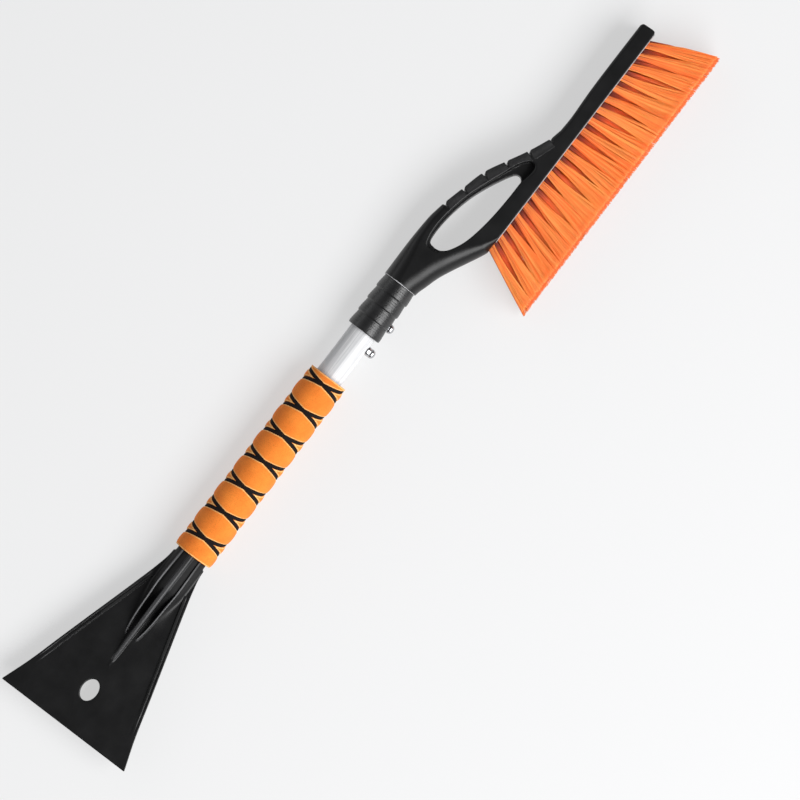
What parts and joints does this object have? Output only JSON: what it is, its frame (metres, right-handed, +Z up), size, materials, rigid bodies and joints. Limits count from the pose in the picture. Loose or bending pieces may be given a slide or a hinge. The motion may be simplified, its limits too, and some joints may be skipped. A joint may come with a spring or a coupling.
{
  "type": "snow brush scraper",
  "caption": "Long snow brush for cars: a fan-shaped ice scraper, a foam grip on a metal tube, and a bristle head with a finger loop that snap buttons lock on the tube.",
  "frame": {"origin": "centre of the bottom of the whole tool's box, with the tool lying on its side", "axes": "+X along the tube from the scraping edge to the brush, -Y the way the bristles point, +Z up, square to the scraper blade"},
  "size_m": [0.6999, 0.1474, 0.0336],
  "materials": {
    "black_plastic": "satin",
    "soft_black": "matte",
    "orange_foam": "matte",
    "black_foam": "matte",
    "aluminium": "satin",
    "chrome": "polished",
    "spring_steel": "satin",
    "grey_plastic": "matte",
    "orange_bristle": "satin"
  },
  "bodies": {
    "handle": {"scraper_blade": "black_plastic", "neck_screw": "spring_steel", "handle_tube": "aluminium", "grip_core": "black_foam", "grip_cover": "orange_foam", "spring_clip_lower": "spring_steel", "spring_clip_upper": "spring_steel"},
    "lower_button": {"snap_button_lower": "chrome"},
    "upper_button": {"snap_button_upper": "chrome"},
    "brush_head": {"brush_head_body": "black_plastic", "brush_head_collar": "soft_black", "grip_pad_1": "soft_black", "grip_pad_2": "soft_black", "grip_pad_3": "soft_black", "grip_pad_4": "soft_black", "grip_pad_5": "soft_black", "bristle_carrier": "grey_plastic", "bristle_tuft_01": "orange_bristle", "bristle_tuft_02": "orange_bristle", "bristle_tuft_03": "orange_bristle", "bristle_tuft_04": "orange_bristle", "bristle_tuft_05": "orange_bristle", "bristle_tuft_06": "orange_bristle", "bristle_tuft_07": "orange_bristle", "bristle_tuft_08": "orange_bristle", "bristle_tuft_09": "orange_bristle", "bristle_tuft_10": "orange_bristle", "bristle_tuft_11": "orange_bristle", "bristle_tuft_12": "orange_bristle", "bristle_tuft_13": "orange_bristle", "bristle_tuft_14": "orange_bristle", "bristle_tuft_15": "orange_bristle", "bristle_tuft_16": "orange_bristle", "bristle_tuft_17": "orange_bristle", "bristle_tuft_18": "orange_bristle", "bristle_tuft_19": "orange_bristle", "bristle_tuft_20": "orange_bristle"}
  },
  "joints": [
    {"name": "head_slide", "type": "slide", "parent": "handle", "child": "brush_head", "axis": [1, 0, 0], "range_m": [-0.0234, 0.052], "deforming": ["snap_button_lower", "snap_button_upper"]},
    {"name": "lower_button_press", "type": "slide", "parent": "handle", "child": "lower_button", "axis": [0, 1, 0], "range_m": [0, 0.0066], "stiffness_N_per_m": 1500, "deforming": ["spring_clip_lower"]},
    {"name": "upper_button_press", "type": "slide", "parent": "handle", "child": "upper_button", "axis": [0, 1, 0], "range_m": [0, 0.0066], "stiffness_N_per_m": 1500, "deforming": ["spring_clip_upper"]}
  ]
}
